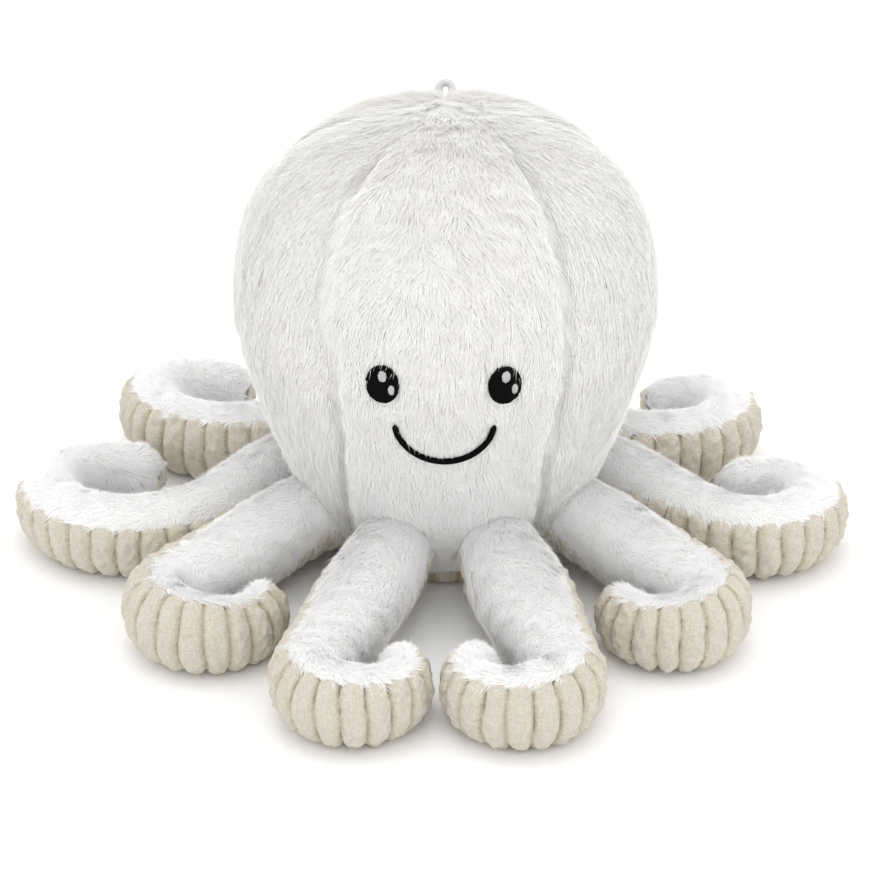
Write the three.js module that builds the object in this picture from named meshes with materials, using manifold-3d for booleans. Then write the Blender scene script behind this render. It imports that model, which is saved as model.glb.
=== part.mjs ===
// Plush octopus with eight curled arms, standing on the flat sole of its body.
// Millimetres, +Z up. The origin is the middle of the sole, on the surface that the toy stands on.
// The face looks along -Y, and left and right are those of someone who faces the toy.
import * as THREE from 'three';
import { mergeVertices } from 'three/addons/utils/BufferGeometryUtils.js';
import Module from 'manifold-3d';

const wasm = await Module();
wasm.setup();

// Head: a stuffed ball, widest above its middle, drawn in towards the sole
const headWidth = 201;
const headTop = 218;
const widestHeight = 123.5;
const neckHeight = 8;
const neckRadius = 55.6;
const soleRadius = 47;
const crownPower = 2.55;
const cheekPower = 1.29;
const cheekRootPower = 1.25;

// Skin and seams
const clearance = 0.3;
const headPile = 4;
const armPile = 3.5;
const soleThickness = 3;
const gapBetweenPanels = 0.3;
const halfGap = gapBetweenPanels / 2;
const fillGap = 0.8;
const seamDip = 2.4;
const overrun = 8;

// Panels of the head, as compass angles from the middle of the face
const faceHalfAngle = 34;
const sidePanelAngle = 73;

// Arms: swell away from the body, then taper to a round tip
const rootRadius = 60;
const rootHeight = 29;
const rootHalfWidth = 19;
const curlHalfWidth = 17.3;
const tipHalfWidth = 12.3;
const rootHalfHeight = 21;
const tipHalfHeight = 16;
const swellLength = 45;
const settleLength = 80;
const easeLength = 55;
const easeShare = 0.45;
const curlStartShare = 0.6;
const ribPitch = 13;
const ribDepth = 2;

// Face and hanging loop
const eyeWidth = 15;
const eyeHeight = 18.5;
const eyeCentreHeight = 128;
const leftEyeAngle = -16.3;
const rightEyeAngle = 14.7;
const stitchHeight = 1.3;
const stitchRoot = 2;
const glintStitchHeight = 0.7;
const smileTopHeight = 107;
const smileBottomHeight = 87.3;
const smileHalfAngle = 13.4;
const smileThickness = 3;
const smileEndSlope = 72;
const loopCord = 3.6;
const loopWidth = 9.4;
const loopRise = 8.8;
const loopBack = 70;
const loopSettle = 1.2;

// Shares of sizes
const stitchRimShares = [1, 1, 0.72];
const stitchRiseShares = [0, 0.55, 1];
const smileFlatShare = 0.75;
const loopBellyShare = 1.12;
const loopBellyHeightShare = 0.45;
const loopShoulderShare = 0.72;
const loopShoulderHeightShare = 0.87;
const soleBulgeShare = 0.7;
const soleBulgeHeightShare = 0.3;
const glintShares = [
  { place: 'upper', acrossShare: 0.02, alongShare: 0.24, widthShare: 0.29, tallShare: 0.33 },
  { place: 'lower', acrossShare: 0.29, alongShare: -0.1, widthShare: 0.21, tallShare: 0.29 },
];

// One row per arm: its name, the way it turns (1 is anticlockwise from above), the compass angles of
// its root and of its straight part, how far the curl turns, how the curl tightens (1 is evenly),
// the length of the straight part, the whole length, half the width of the straight part, and the
// angle that the outer seam climbs to on the curl
const arms = [
  ['front_left', 1, -20.2, -19.9, 247, 0.9, 113, 202, 22.5, 60],
  ['front_right', -1, 20.5, 15.2, 250, 0.9, 113.5, 206, 24, 60],
  ['fore_left', 1, -66, -42.7, 247, 0.9, 98, 194, 20.7, 80],
  ['fore_right', -1, 63.5, 40, 242, 0.9, 94, 180, 21, 74],
  ['hind_left', -1, -112, -40, 265, 1.3, 64.5, 250, 19.3, 32],
  ['hind_right', 1, 108, 44.5, 262, 1.1, 83, 217, 20, 42],
  ['rear_left', -1, -154, -81, 238, 1.5, 61, 215, 20, 55],
  ['rear_right', 1, 156, 70, 248, 1.65, 50, 199, 20, 50],
].map(([name, turn, root, heading, curl, power, straight, length, fullHalfWidth, outerSeamCurl]) => {
  return { name, turn, root, heading, curl, power, straight, length, fullHalfWidth, outerSeamCurl };
});

// Angles of an arm's two seams round its section: 0 is the outer side of the curl and 90 the top.
// The section rolls over as the arm curls, so that the ribs come to face outwards.
const outerSeamRoot = 12;
const innerSeamRoot = 180;
const innerSeamCurl = 240;

// Counts
const pathSteps = 160;
const ribsPerStep = 2;
const outerPoints = 4;
const topInnerPoints = 2;
const underInnerPoints = 2;
const tipAngles = [0, 40, 70];
const crownPoints = 5;
const cheekPoints = 4;
const loopSides = 8;
const loopSteps = 20;
const soleSides = 30;
const eyeSegments = 18;
const glintSegments = 10;
const smileSteps = 14;
const smileSides = 6;

const furMaterial = new THREE.MeshStandardMaterial({ color: 0xf4f3f1, roughness: 0.95, metalness: 0 });
const ribMaterial = new THREE.MeshStandardMaterial({ color: 0xefe6d2, roughness: 0.9, metalness: 0 });
const fillMaterial = new THREE.MeshStandardMaterial({ color: 0xffffff, roughness: 1, metalness: 0 });
const blackThread = new THREE.MeshStandardMaterial({ color: 0x161616, roughness: 0.45, metalness: 0 });
const greyThread = new THREE.MeshStandardMaterial({ color: 0xc9cacc, roughness: 0.5, metalness: 0 });
const loopMaterial = new THREE.MeshStandardMaterial({ color: 0xeceeee, roughness: 0.35, metalness: 0 });

const radians = THREE.MathUtils.degToRad;
const degrees = THREE.MathUtils.radToDeg;
const lerp = THREE.MathUtils.lerp;
const smooth = (share) => THREE.MathUtils.smoothstep(share, 0, 1);
const up = new THREE.Vector3(0, 0, 1);

// A compass direction: 0 looks out of the face, 90 to the right
function compass(angle, length = 1, height = 0) {
  const turned = radians(angle);
  return new THREE.Vector3(length * Math.sin(turned), -length * Math.cos(turned), height);
}

// Closed skin over rings of points that all have the same count, with a lid at each end
function loft(rings) {
  const count = rings[0].length;
  const corners = [];
  const quad = (a, b, c, d) => corners.push(a, b, c, a, c, d);
  for (let i = 0; i + 1 < rings.length; i++) {
    for (let k = 0; k < count; k++) {
      const next = (k + 1) % count;
      quad(rings[i][k], rings[i][next], rings[i + 1][next], rings[i + 1][k]);
    }
  }
  lid(rings[0]).forEach(([a, b, c]) => corners.push(a, c, b));
  lid(rings[rings.length - 1]).forEach(([a, b, c]) => corners.push(a, b, c));
  const flipped = signedVolume(corners) < 0;
  const points = [];
  for (let i = 0; i < corners.length; i += 3) {
    points.push(corners[i], corners[i + (flipped ? 2 : 1)], corners[i + (flipped ? 1 : 2)]);
  }
  return new THREE.BufferGeometry().setFromPoints(points);
}

// Triangles of a flat lid that turn the same way as its ring
function lid(ring) {
  const normal = new THREE.Vector3();
  ring.forEach((point, i) => normal.add(point.clone().cross(ring[(i + 1) % ring.length])));
  normal.normalize();
  const along = ring[1].clone().sub(ring[0]).normalize();
  const across = normal.clone().cross(along);
  const flat = ring.map((point) => new THREE.Vector2(point.dot(along), point.dot(across)));
  return THREE.ShapeUtils.triangulateShape(flat, []).map((face) => face.map((i) => ring[i]));
}

function signedVolume(corners) {
  let volume = 0;
  const cross = new THREE.Vector3();
  for (let i = 0; i < corners.length; i += 3) {
    volume += corners[i].dot(cross.crossVectors(corners[i + 1], corners[i + 2]));
  }
  return volume;
}

function solid(geometry) {
  const bare = geometry.clone();
  bare.deleteAttribute('normal');
  bare.deleteAttribute('uv');
  const merged = mergeVertices(bare);
  return new wasm.Manifold(new wasm.Mesh({
    numProp: 3,
    vertProperties: new Float32Array(merged.attributes.position.array),
    triVerts: new Uint32Array(merged.index.array),
  }));
}

function geometryOf(manifold) {
  const mesh = manifold.getMesh();
  const geometry = new THREE.BufferGeometry();
  geometry.setAttribute('position', new THREE.BufferAttribute(new Float32Array(mesh.vertProperties), 3));
  geometry.setIndex(new THREE.BufferAttribute(new Uint32Array(mesh.triVerts), 1));
  return geometry;
}

// Head surface: its radius at a height, moved out by a distance
const headRadius = headWidth / 2;

function radiusAt(height, out = 0) {
  if (height >= widestHeight) {
    const share = Math.min(1, (height - widestHeight) / (headTop + out - widestHeight));
    return (headRadius + out) * (1 - share ** crownPower) ** (1 / crownPower);
  }
  const share = (widestHeight - height) / (widestHeight - neckHeight);
  const fall = Math.max(0, 1 - share ** cheekPower) ** (1 / cheekRootPower);
  return lerp(neckRadius, headRadius, fall) + out;
}

// Outline of the head from the crown to the neck, as radius and height
function headOutline(out) {
  const outline = [];
  for (let i = 0; i < crownPoints; i++) {
    const angle = radians(90 * (1 - i / crownPoints));
    const rise = (headTop + out - widestHeight) * Math.sin(angle) ** (2 / crownPower);
    const radius = (headRadius + out) * Math.cos(angle) ** (2 / crownPower);
    outline.push([i === 0 ? 0 : radius, widestHeight + rise]);
  }
  for (let i = 0; i <= cheekPoints; i++) {
    const height = lerp(widestHeight, neckHeight, i / cheekPoints);
    outline.push([radiusAt(height, out), height]);
  }
  return outline;
}

// The panels' seams, and the angles at which each panel is drawn
const panels = [
  { name: 'face_panel', from: -faceHalfAngle, to: faceHalfAngle },
  { name: 'right_side_panel', from: faceHalfAngle, to: faceHalfAngle + sidePanelAngle },
  { name: 'right_back_panel', from: faceHalfAngle + sidePanelAngle, to: 180 },
  { name: 'left_back_panel', from: 180, to: 360 - faceHalfAngle - sidePanelAngle },
  { name: 'left_side_panel', from: 360 - faceHalfAngle - sidePanelAngle, to: 360 - faceHalfAngle },
];
const goreShares = [0, 0.1, 0.5, 0.9, 1];
const gorePoints = goreShares.length - 1;

// One slice of the head at a compass angle: closed in the plane of the head's axis
function headSlice(angle, dip, outer, inner) {
  const outside = headOutline(outer).map(([radius, height]) => {
    const drawn = dip * Math.min(1, radius / headRadius);
    return compass(angle, Math.max(0, radius - drawn), height);
  });
  const inside = headOutline(inner).map(([radius, height]) => compass(angle, radius, height)).reverse();
  return [...outside, ...inside];
}

function gore(panel, outer, inner) {
  const slices = goreShares.map((share, i) => {
    const atSeam = i === 0 || i === gorePoints;
    return headSlice(lerp(panel.from, panel.to, share), atSeam ? seamDip : 0, outer, inner);
  });
  return loft(slices);
}

// Whole head as one solid of rings: the stuffing, and the cutter for what is sewn to the head
function wholeHead(out, floor) {
  const angles = [];
  for (const panel of panels) {
    goreShares.slice(0, gorePoints).forEach((share, i) => {
      angles.push({ angle: lerp(panel.from, panel.to, share), dip: i === 0 && out >= 0 ? seamDip : 0 });
    });
  }
  const outline = headOutline(out).slice(1);
  outline[outline.length - 1] = [outline[outline.length - 1][0], floor];
  const pole = new THREE.Vector3(0, 0, headTop + out);
  const rings = outline.map(([radius, height]) => angles.map(({ angle, dip }) => {
    return compass(angle, radius - dip * Math.min(1, radius / headRadius), height);
  }));
  const first = rings[0].map(() => pole.clone());
  return domed(first, rings);
}

// Loft whose first ring is a single point
function domed(first, rings) {
  const corners = [];
  const count = first.length;
  for (let k = 0; k < count; k++) corners.push(first[0], rings[0][k], rings[0][(k + 1) % count]);
  for (let i = 0; i + 1 < rings.length; i++) {
    for (let k = 0; k < count; k++) {
      const next = (k + 1) % count;
      const [a, b, c, d] = [rings[i][k], rings[i + 1][k], rings[i + 1][next], rings[i][next]];
      corners.push(a, b, c, a, c, d);
    }
  }
  lid(rings[rings.length - 1]).forEach(([a, b, c]) => corners.push(a, c, b));
  if (signedVolume(corners) < 0) corners.reverse();
  return new THREE.BufferGeometry().setFromPoints(corners);
}

// Place and size of an arm's section at a distance along it
function armPath(arm) {
  const { turn, root, heading, curl, straight, power, length, fullHalfWidth } = arm;
  const start = -overrun;
  const step = (length - start) / pathSteps;
  const facing = (s) => {
    const share = THREE.MathUtils.clamp((s - straight) / (length - straight), 0, 1);
    const eased = easeShare * (root - heading) * (1 - smooth(s / easeLength));
    return heading + eased + turn * curl * share ** power;
  };
  const points = [new THREE.Vector3()];
  for (let i = 0; i < pathSteps; i++) {
    points.push(points[i].clone().add(compass(facing(start + (i + 0.5) * step), step)));
  }
  const at = (s) => {
    const place = THREE.MathUtils.clamp((s - start) / step, 0, pathSteps);
    const whole = Math.min(pathSteps - 1, Math.floor(place));
    return points[whole].clone().lerp(points[whole + 1], place - whole);
  };
  const shift = compass(root, rootRadius).sub(at(0));
  const curled = (s) => smooth((s / length - curlStartShare) / (1 - curlStartShare));
  return {
    facing,
    centre: (s) => at(s).add(shift),
    halfWidth: (s) => {
      const swollen = lerp(rootHalfWidth, fullHalfWidth, smooth(s / swellLength));
      const mid = curlStartShare * length;
      const drawn = (curlHalfWidth - fullHalfWidth) * smooth((s - swellLength) / (mid - swellLength));
      return swollen + drawn + (tipHalfWidth - curlHalfWidth) * smooth((s - mid) / (length - mid));
    },
    halfHeight: (s) => lerp(rootHalfHeight, tipHalfHeight, curled(s)),
  };
}

// Where a ring of the arm sits: its middle, its outward direction and its half sizes
function armSection(arm, path, s, inset, capShare = 1) {
  const width = path.halfWidth(s);
  const height = path.halfHeight(s);
  const middle = path.centre(s);
  middle.z = halfGap + height + (rootHeight - height) * (1 - smooth(s / settleLength));
  const outward = compass(path.facing(s) + 90, -arm.turn);
  const rolled = smooth(s / arm.straight);
  return {
    middle, outward, rolled,
    width: (width - inset) * capShare,
    height: (height - inset) * capShare,
  };
}

// Rings of an arm, two ribs apart, and drawn in at the tip. The ribs are as wide round the outer
// side of the curl as they are on the straight part.
function armStations(arm, inset) {
  const last = arm.length - tipHalfWidth;
  const outerArc = last - arm.straight + radians(arm.curl) * curlHalfWidth;
  const straightSteps = Math.round(arm.straight / (ribsPerStep * ribPitch));
  const curlSteps = Math.round(outerArc / (ribsPerStep * ribPitch));
  const stations = [];
  for (let i = 0; i < straightSteps; i++) {
    stations.push({ s: lerp(0, arm.straight, i / straightSteps), ribs: ribsPerStep, capShare: 1 });
  }
  for (let i = 0; i < curlSteps; i++) {
    stations.push({ s: lerp(arm.straight, last, i / curlSteps), ribs: ribsPerStep, capShare: 1 });
  }
  for (const angle of tipAngles) {
    const reach = (tipHalfWidth - inset) * Math.sin(radians(angle));
    stations.push({ s: last + reach, ribs: 0, capShare: Math.cos(radians(angle)) });
  }
  return stations;
}

function seamAngles(arm, rolled) {
  return [lerp(outerSeamRoot, arm.outerSeamCurl, rolled), lerp(innerSeamRoot, innerSeamCurl, rolled)];
}

function sectionPoint(section, angle, inset) {
  const turned = radians(angle);
  return section.middle.clone()
    .addScaledVector(section.outward, (section.width - inset) * Math.cos(turned))
    .addScaledVector(up, (section.height - inset) * Math.sin(turned));
}

// Ring of a panel's thickness, from seam to seam outside and back inside, set off from the seams
function panelRing(section, from, to, innerPoints) {
  const ring = [];
  for (let i = 0; i <= outerPoints; i++) {
    ring.push(sectionPoint(section, lerp(from, to, i / outerPoints), 0));
  }
  for (let i = innerPoints; i >= 0; i--) {
    ring.push(sectionPoint(section, lerp(from, to, i / innerPoints), armPile));
  }
  const bisector = radians((from + to) / 2);
  const away = section.outward.clone().multiplyScalar(Math.cos(bisector));
  away.addScaledVector(up, Math.sin(bisector));
  ring.forEach((point) => point.addScaledVector(away, halfGap));
  return ring;
}

function furRing(arm, path, { s, capShare }) {
  const section = armSection(arm, path, s, 0, capShare);
  const [outer, inner] = seamAngles(arm, section.rolled);
  return panelRing(section, outer, inner, topInnerPoints);
}

function undersideRing(arm, path, { s, capShare }) {
  const section = armSection(arm, path, s, 0, capShare);
  const [outer, inner] = seamAngles(arm, section.rolled);
  return panelRing(section, inner, outer + 360, underInnerPoints);
}

function armFur(arm, path) {
  return loft(armStations(arm, 0).map((station) => furRing(arm, path, station)));
}

// The underside has a groove and a crest for each rib. Its seams and its inside run straight from
// one ring of the fur to the next, so that the two panels meet along their whole length.
function armUnderside(arm, path) {
  const stations = armStations(arm, 0);
  const rings = [];
  for (let i = 0; i + 1 < stations.length; i++) {
    const [here, there] = [stations[i], stations[i + 1]];
    const [first, second] = [undersideRing(arm, path, here), undersideRing(arm, path, there)];
    const steps = Math.max(1, 2 * here.ribs);
    for (let k = 0; k < steps; k++) {
      const share = k / steps;
      const capShare = lerp(here.capShare, there.capShare, share);
      const fine = undersideRing(arm, path, { s: lerp(here.s, there.s, share), capShare });
      const groove = here.ribs > 0 && k % 2 === 0 ? ribDepth : 0;
      rings.push(first.map((point, j) => {
        const crest = j > 0 && j < outerPoints;
        if (!crest) return point.clone().lerp(second[j], share);
        const middle = first[first.length - 2].clone().lerp(second[first.length - 2], share);
        const inward = middle.sub(fine[j]).normalize();
        return fine[j].clone().addScaledVector(inward, groove);
      }));
    }
  }
  rings.push(undersideRing(arm, path, stations[stations.length - 1]));
  return loft(rings);
}

// The stuffing has its corners where the two panels have theirs
function armStuffing(arm, path) {
  const inset = armPile + fillGap;
  return loft(armStations(arm, inset).map(({ s, capShare }) => {
    const section = armSection(arm, path, s, inset, capShare);
    const [outer, inner] = seamAngles(arm, section.rolled);
    const ring = [];
    for (let i = 0; i < topInnerPoints; i++) {
      ring.push(sectionPoint(section, lerp(outer, inner, i / topInnerPoints), 0));
    }
    for (let i = 0; i < underInnerPoints; i++) {
      ring.push(sectionPoint(section, lerp(inner, outer + 360, i / underInnerPoints), 0));
    }
    return ring;
  }));
}

// Small patch of satin stitch, an oval about a compass angle and a height on the head. It stands
// from one distance off the skin to another.
function patch(angle, height, width, tall, from, to, segments) {
  const rings = stitchRimShares.map((rimShare, i) => {
    const ring = [];
    for (let k = 0; k < segments; k++) {
      const around = radians(360 * k / segments);
      const z = height + rimShare * tall / 2 * Math.sin(around);
      const radius = radiusAt(z) + lerp(from, to, stitchRiseShares[i]);
      const sideways = rimShare * width / 2 * Math.cos(around);
      ring.push(compass(angle + degrees(sideways / radius), radius, z));
    }
    return ring;
  });
  return loft(rings);
}

// Stitched line of the smile, deep in the middle
function smileLine() {
  const rings = [];
  for (let i = 0; i <= smileSteps; i++) {
    const acrossShare = lerp(-1, 1, i / smileSteps);
    const quarter = radians(90 * acrossShare);
    const angle = smileHalfAngle * Math.sin(quarter);
    const height = lerp(smileBottomHeight, smileTopHeight, 1 - Math.cos(quarter));
    const middle = compass(angle, radiusAt(height) + clearance, height);
    const slope = radians(smileEndSlope * acrossShare);
    const along = compass(angle + 90).multiplyScalar(Math.cos(slope)).addScaledVector(up, Math.sin(slope));
    const outward = compass(angle);
    const over = along.cross(outward).normalize();
    const ring = [];
    for (let k = 0; k < smileSides; k++) {
      const around = radians(360 * k / smileSides);
      ring.push(middle.clone()
        .addScaledVector(over, smileThickness / 2 * Math.cos(around))
        .addScaledVector(outward, stitchHeight * (smileFlatShare + Math.sin(around))));
    }
    rings.push(ring);
  }
  return loft(rings);
}

// Height and tilt of the crown's surface at a distance from the head's middle
function crownSeat(radius) {
  const share = radius / headRadius;
  const rise = (1 - share ** crownPower) ** (1 / crownPower);
  const slope = (headTop - widestHeight) / headRadius * (share / rise) ** (crownPower - 1);
  return { height: lerp(widestHeight, headTop, rise), tilt: Math.atan(slope) };
}

// Hanging loop: a bent cord whose two ends are round, so that it can flop over.
// It stands square to the crown behind the middle, settled into the dip of the seam
function loopSolid() {
  const cordRadius = loopCord / 2;
  const spread = loopWidth / 2 - cordRadius;
  const foot = clearance + cordRadius - loopSettle;
  const crown = foot + loopRise - loopCord;
  const belly = lerp(foot, crown, loopBellyHeightShare);
  const shoulder = lerp(foot, crown, loopShoulderHeightShare);
  const curve = new THREE.CatmullRomCurve3([
    new THREE.Vector3(-spread, 0, foot),
    new THREE.Vector3(-spread * loopBellyShare, 0, belly),
    new THREE.Vector3(-spread * loopShoulderShare, 0, shoulder),
    new THREE.Vector3(0, 0, crown),
    new THREE.Vector3(spread * loopShoulderShare, 0, shoulder),
    new THREE.Vector3(spread * loopBellyShare, 0, belly),
    new THREE.Vector3(spread, 0, foot),
  ]);
  const section = new THREE.Shape([...Array(loopSides).keys()].map((k) => {
    const around = radians(360 * k / loopSides);
    return new THREE.Vector2(cordRadius * Math.cos(around), cordRadius * Math.sin(around));
  }));
  const tube = new THREE.ExtrudeGeometry(section, { steps: loopSteps, extrudePath: curve });
  const ends = [-spread, spread].map((x) => {
    return solid(new THREE.SphereGeometry(cordRadius, loopSides, loopSides / 2).translate(x, 0, foot));
  });
  const { height, tilt } = crownSeat(loopBack);
  console.log('hanging loop: height of its seat', height, 'tilt', degrees(tilt));
  const upright = geometryOf(ends.reduce((sum, end) => sum.add(end), solid(tube)));
  return upright.rotateX(-tilt).translate(0, loopBack, height);
}

// Sole: a shallow dish of fabric that closes the body below
function soleDish() {
  const rim = neckHeight - gapBetweenPanels;
  const outline = [
    [0, 0],
    [soleRadius, 0],
    [lerp(soleRadius, neckRadius, soleBulgeShare), rim * soleBulgeHeightShare],
    [neckRadius, rim],
    [neckRadius - headPile, rim],
    [soleRadius, soleThickness],
    [0, soleThickness],
  ].map(([radius, height]) => new THREE.Vector2(radius, height));
  return new THREE.LatheGeometry(outline, soleSides).rotateX(radians(90));
}

const octopus = new THREE.Group();
octopus.name = 'plush_octopus';

function add(name, geometry, material) {
  const mesh = new THREE.Mesh(geometry, material);
  mesh.name = name;
  octopus.add(mesh);
}

// Head pieces
const headCutter = solid(wholeHead(2 * clearance, neckHeight));
add('head_stuffing', wholeHead(-headPile - clearance, neckHeight + clearance), fillMaterial);
for (const panel of panels) {
  const half = (panel.to - panel.from) / 2;
  const shift = compass(panel.from + half, halfGap / Math.sin(radians(half)));
  add(panel.name, gore(panel, 0, -headPile).translate(shift.x, shift.y, 0), furMaterial);
}
add('sole_panel', soleDish(), ribMaterial);

// Face pieces: the eyes and the smile are cut by the head, and the glints lie on the eyes
for (const [side, angle] of [['left', leftEyeAngle], ['right', rightEyeAngle]]) {
  const eye = patch(angle, eyeCentreHeight, eyeWidth, eyeHeight, -stitchRoot, stitchHeight, eyeSegments);
  add(`${side}_eye`, geometryOf(solid(eye).subtract(headCutter)), blackThread);
  for (const { place, acrossShare, alongShare, widthShare, tallShare } of glintShares) {
    const turned = angle + degrees(acrossShare * eyeWidth / headRadius);
    const height = eyeCentreHeight + alongShare * eyeHeight;
    const base = stitchHeight + clearance;
    const glint = patch(turned, height, widthShare * eyeWidth, tallShare * eyeHeight,
      base, base + glintStitchHeight, glintSegments);
    add(`${side}_eye_${place}_glint`, glint, greyThread);
  }
}
add('smile', geometryOf(solid(smileLine()).subtract(headCutter)), blackThread);
add('hanging_loop', loopSolid(), loopMaterial);

// Arms, each a furry top, a ribbed underside and the stuffing between them, all cut by the head
for (const arm of arms) {
  const path = armPath(arm);
  const cutByHead = (geometry) => geometryOf(solid(geometry).subtract(headCutter));
  add(`${arm.name}_arm_fur`, cutByHead(armFur(arm, path)), furMaterial);
  add(`${arm.name}_arm_ribbed_underside`, cutByHead(armUnderside(arm, path)), ribMaterial);
  add(`${arm.name}_arm_stuffing`, cutByHead(armStuffing(arm, path)), fillMaterial);
}

export default octopus;
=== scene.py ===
# %% [markdown]
# # A plush octopus
# A round head of long white fur sits on eight curled arms. Each arm is fur above and ribbed cream
# plush below. This script dresses the frame of solids: it makes the cloth, the fur, the stitching
# and the loop, and then the studio around them.

# %% Open the frame
import math

import bpy
import numpy as np
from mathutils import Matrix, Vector


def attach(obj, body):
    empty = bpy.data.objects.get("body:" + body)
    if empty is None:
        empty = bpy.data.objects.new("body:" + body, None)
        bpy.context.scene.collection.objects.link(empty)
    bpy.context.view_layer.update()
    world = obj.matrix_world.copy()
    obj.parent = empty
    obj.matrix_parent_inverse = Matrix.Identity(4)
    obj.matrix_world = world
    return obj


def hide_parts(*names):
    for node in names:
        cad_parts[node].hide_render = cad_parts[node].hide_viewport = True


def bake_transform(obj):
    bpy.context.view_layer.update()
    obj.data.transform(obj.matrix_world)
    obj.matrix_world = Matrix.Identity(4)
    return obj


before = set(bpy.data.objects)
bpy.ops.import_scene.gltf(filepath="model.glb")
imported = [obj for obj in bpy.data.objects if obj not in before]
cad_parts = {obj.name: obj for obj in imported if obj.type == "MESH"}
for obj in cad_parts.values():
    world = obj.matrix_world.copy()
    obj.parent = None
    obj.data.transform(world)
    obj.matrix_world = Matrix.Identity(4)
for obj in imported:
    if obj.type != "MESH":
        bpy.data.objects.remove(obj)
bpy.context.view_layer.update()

print("solids in the frame:", len(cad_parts))

# %% [markdown]
# ## Camera
# The photograph looks down on the toy's face by 27 degrees from well away, so there is little
# perspective. The aim is a point on the face's side of the body, a little above the ground.

# %% Camera
CAMERA_HEIGHT_ANGLE = math.radians(27)
CAMERA_DISTANCE = 1.4
CAMERA_AIM = Vector((-0.005, 0.0, 0.05387))
CAMERA_LENS_MM = 120.7

camera = bpy.data.objects.new("photo_camera", bpy.data.cameras.new("photo_camera"))
bpy.context.collection.objects.link(camera)
away = Vector((0, -math.cos(CAMERA_HEIGHT_ANGLE), math.sin(CAMERA_HEIGHT_ANGLE)))
camera.location = CAMERA_AIM + CAMERA_DISTANCE * away
camera.rotation_euler = (math.pi / 2 - CAMERA_HEIGHT_ANGLE, 0, 0)
camera.data.lens = CAMERA_LENS_MM
camera.data.sensor_width = 36
camera.data.clip_end = 20
bpy.context.scene.camera = camera
print("camera at", [round(v, 3) for v in camera.location])

# %% [markdown]
# ## Studio
# White toys are photographed on white, in light from all round, so that only soft shadows are left
# under the arms. A pale floor takes those shadows and throws light back up under the chin. The room
# gives most of the light, and the backdrop is plain white to the camera. Wide lamps in front, at the
# side and above round the head a little. A narrow one lifts the two arms in front.

# %% Studio
ROOM_STRENGTH = 1.12
FLOOR_COLOUR = (0.95, 0.95, 0.95, 1)
# name, place, aim, width, spread in degrees, power in watts
LAMPS = [
    ("front_lamp", (-0.4, -2.3, 0.35), (0, 0, 0.08), 2.4, 180, 9.0),
    ("side_lamp", (2.2, -0.6, 0.6), (0, 0, 0.08), 1.8, 180, 4.0),
    ("top_lamp", (-0.2, 0.1, 2.5), (0, 0, 0.08), 1.6, 180, 9.0),
    ("arms_lamp", (0, -1.0, 1.2), (0, -0.17, 0), 0.5, 36, 0.05),
]

# %% Room
world = bpy.data.worlds.new("white_room")
bpy.context.scene.world = world
world.use_nodes = True
wn = world.node_tree
wn.nodes.clear()
room = wn.nodes.new("ShaderNodeBackground")
room.inputs["Strength"].default_value = ROOM_STRENGTH
backdrop = wn.nodes.new("ShaderNodeBackground")
for background in (room, backdrop):
    background.inputs["Color"].default_value = (1, 1, 1, 1)
rays = wn.nodes.new("ShaderNodeLightPath")
choose = wn.nodes.new("ShaderNodeMixShader")
world_out = wn.nodes.new("ShaderNodeOutputWorld")
wn.links.new(rays.outputs["Is Camera Ray"], choose.inputs["Fac"])
wn.links.new(room.outputs[0], choose.inputs[1])
wn.links.new(backdrop.outputs[0], choose.inputs[2])
wn.links.new(choose.outputs[0], world_out.inputs["Surface"])

# %% Lamps
for name, place, aim, size, spread, power in LAMPS:
    lamp = bpy.data.lights.new(name, "AREA")
    lamp.shape = "DISK"
    lamp.size = size
    lamp.spread = math.radians(spread)
    lamp.energy = power
    holder = bpy.data.objects.new(name, lamp)
    holder.location = place
    holder.rotation_euler = (Vector(aim) - Vector(place)).to_track_quat("-Z", "Y").to_euler()
    bpy.context.collection.objects.link(holder)

bpy.context.scene.view_settings.view_transform = "Standard"
print("lamps:", [name for name, *_ in LAMPS])

# %% [markdown]
# ## Sizes
# All shapes below are worked out in millimetres, as the frame's are, and turned into metres when a
# mesh is made. The head is a tall ball, widest above its middle and drawn in to the sole. The fur
# fills the outer few millimetres of every furry surface, so the cloth lies that far inside. A seam
# is a narrow dip in a wider, shallower one, and both fade out towards the crown.

# %% Sizes
MM = 0.001
HEAD_RADIUS = 100.5
HEAD_TOP = 218
WIDEST_HEIGHT = 123.5
NECK_HEIGHT = 8
NECK_RADIUS = 55.6
SOLE_RADIUS = 47
CROWN_POWER, CHEEK_POWER, CHEEK_ROOT_POWER = 2.55, 1.29, 1.25
HEAD_PILE = 2.8
ARM_PILE = 2.4
SEAM_DIP, SEAM_HALF_WIDTH = 2.0, 3.2
SEAM_WIDE_DIP, SEAM_WIDE_HALF_WIDTH = 1.2, 12
SEAM_FADE_START, SEAM_FADE_LENGTH = 25, 45

# %% Sizes of the arms
ROOT_RADIUS, ROOT_HEIGHT = 60, 29
ROOT_HALF_WIDTH, CURL_HALF_WIDTH, TIP_HALF_WIDTH = 19, 17.3, 12.3
ROOT_HALF_HEIGHT, TIP_HALF_HEIGHT = 21, 16
SWELL_LENGTH, SETTLE_LENGTH, EASE_LENGTH = 45, 80, 55
EASE_SHARE, CURL_START_SHARE = 0.45, 0.6
UNDER_GAP = 0.15
ROOT_START = -2
RIB_PITCH, RIB_DEPTH = 12.6, 4.0
OUTER_SEAM_ROOT = 12
INNER_SEAM = (180, 240)

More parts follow.
